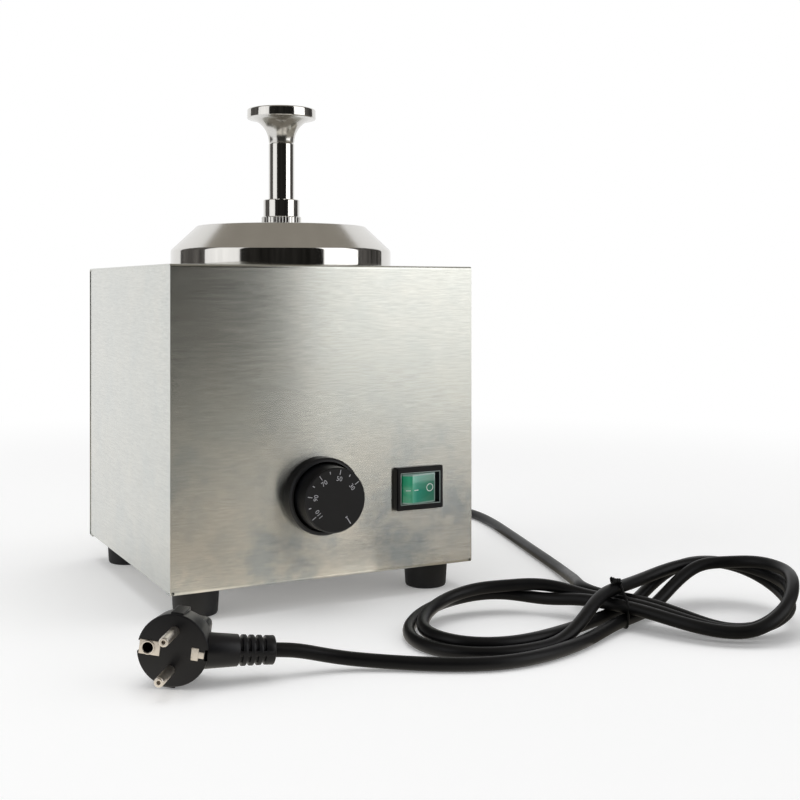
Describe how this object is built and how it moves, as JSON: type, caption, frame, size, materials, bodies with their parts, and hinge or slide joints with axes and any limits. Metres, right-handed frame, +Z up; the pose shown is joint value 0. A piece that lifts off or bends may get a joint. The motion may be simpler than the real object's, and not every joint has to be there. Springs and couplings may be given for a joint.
{
  "type": "topping warmer",
  "caption": "Square stainless steel warmer for hot fudge topping, with a lidded pump, a thermostat knob, a green rocker switch and a hanked mains cord.",
  "frame": {"origin": "on the floor under the middle of the cabinet, which is the middle of the box without the cord", "axes": "+Z up, -Y toward the front with the controls, +X to the right seen from the front"},
  "size_m": [0.3842, 0.49, 0.3133],
  "materials": {
    "sheet_steel": "brushed stainless",
    "polished_steel": "mirror polished stainless",
    "drawn_steel": "satin drawn stainless",
    "zinc_steel": "zinc plated",
    "aluminium": "cast",
    "element": "heat-tinted sheath",
    "black_plastic": "satin black",
    "black_rubber": "moulded",
    "cord_pvc": "satin black PVC",
    "white_plastic": "moulded acetal",
    "green_lens": "translucent green",
    "ceramic": "glazed ceramic",
    "brass": "bare",
    "copper": "bare copper",
    "plug_nickel": "nickel plated"
  },
  "bodies": {
    "housing": {"outer_wrap": "sheet_steel", "side_panel_left": "sheet_steel", "side_panel_right": "sheet_steel", "base_plate": "drawn_steel", "base_screws": "zinc_steel", "feet": "black_rubber", "foot_screws": "zinc_steel", "heated_well": "drawn_steel", "heater_plate": "aluminium", "heater_element": "element", "thermal_cutout": "element", "terminal_block": "ceramic", "earth_stud": "brass", "thermostat_body": "zinc_steel", "thermostat_bracket": "zinc_steel", "capillary_tube": "copper", "sensor_bulb": "copper", "thermostat_ring": "black_plastic", "switch_housing": "black_plastic", "switch_terminals": "brass", "cord_gland": "black_rubber", "power_cord": "cord_pvc", "cord_hank": "cord_pvc", "cord_lead": "cord_pvc", "twist_tie": "cord_pvc", "plug_body": "black_rubber", "plug_pins": "plug_nickel", "plug_earth": "plug_nickel"},
    "dial": {"thermostat_knob": "black_plastic", "thermostat_shaft": "zinc_steel"},
    "rocker": {"switch_rocker": "green_lens"},
    "pot": {"pot": "drawn_steel"},
    "lid": {"lid": "polished_steel", "lid_ring": "drawn_steel"},
    "pump": {"pump_tube": "polished_steel", "top_bush": "white_plastic", "lock_nut": "polished_steel", "spout": "polished_steel", "pump_cylinder": "drawn_steel", "foot_valve_body": "white_plastic", "foot_valve_pin": "drawn_steel", "return_spring": "polished_steel"},
    "plunger": {"pump_knob": "polished_steel", "pump_stem": "polished_steel", "pump_rod": "drawn_steel", "piston": "white_plastic", "piston_seal": "black_rubber"},
    "foot_ball": {"foot_ball": "polished_steel"},
    "transfer_ball": {"transfer_ball": "polished_steel"}
  },
  "joints": [
    {"name": "pot_lift", "type": "slide", "parent": "housing", "child": "pot", "axis": [0, 0, 1], "range_m": [0, 0.12]},
    {"name": "lid_lift", "type": "slide", "parent": "pot", "child": "lid", "axis": [0, 0, 1], "range_m": [0, 0.12]},
    {"name": "pump_turn", "type": "hinge", "parent": "lid", "child": "pump", "pos_m": [0, -0.02, 0.235], "axis": [0, 0, 1], "continuous": true},
    {"name": "plunger_stroke", "type": "slide", "parent": "pump", "child": "plunger", "axis": [0, 0, -1], "range_m": [0, 0.035], "stiffness_N_per_m": 400, "springref_m": -0.02, "deforming": ["return_spring"]},
    {"name": "foot_ball_lift", "type": "slide", "parent": "pump", "child": "foot_ball", "axis": [0, 0, 1], "range_m": [0, 0.0025]},
    {"name": "transfer_ball_lift", "type": "slide", "parent": "plunger", "child": "transfer_ball", "axis": [0, 0, 1], "range_m": [0, 0.002]},
    {"name": "dial_turn", "type": "hinge", "parent": "housing", "child": "dial", "pos_m": [-0.007, -0.1, 0.0686], "axis": [0, 1, 0], "range_deg": [0, 270]},
    {"name": "switch_rock", "type": "hinge", "parent": "housing", "child": "rocker", "pos_m": [0.0602, -0.1, 0.0682], "axis": [0, 0, -1], "range_deg": [0, 24]}
  ]
}
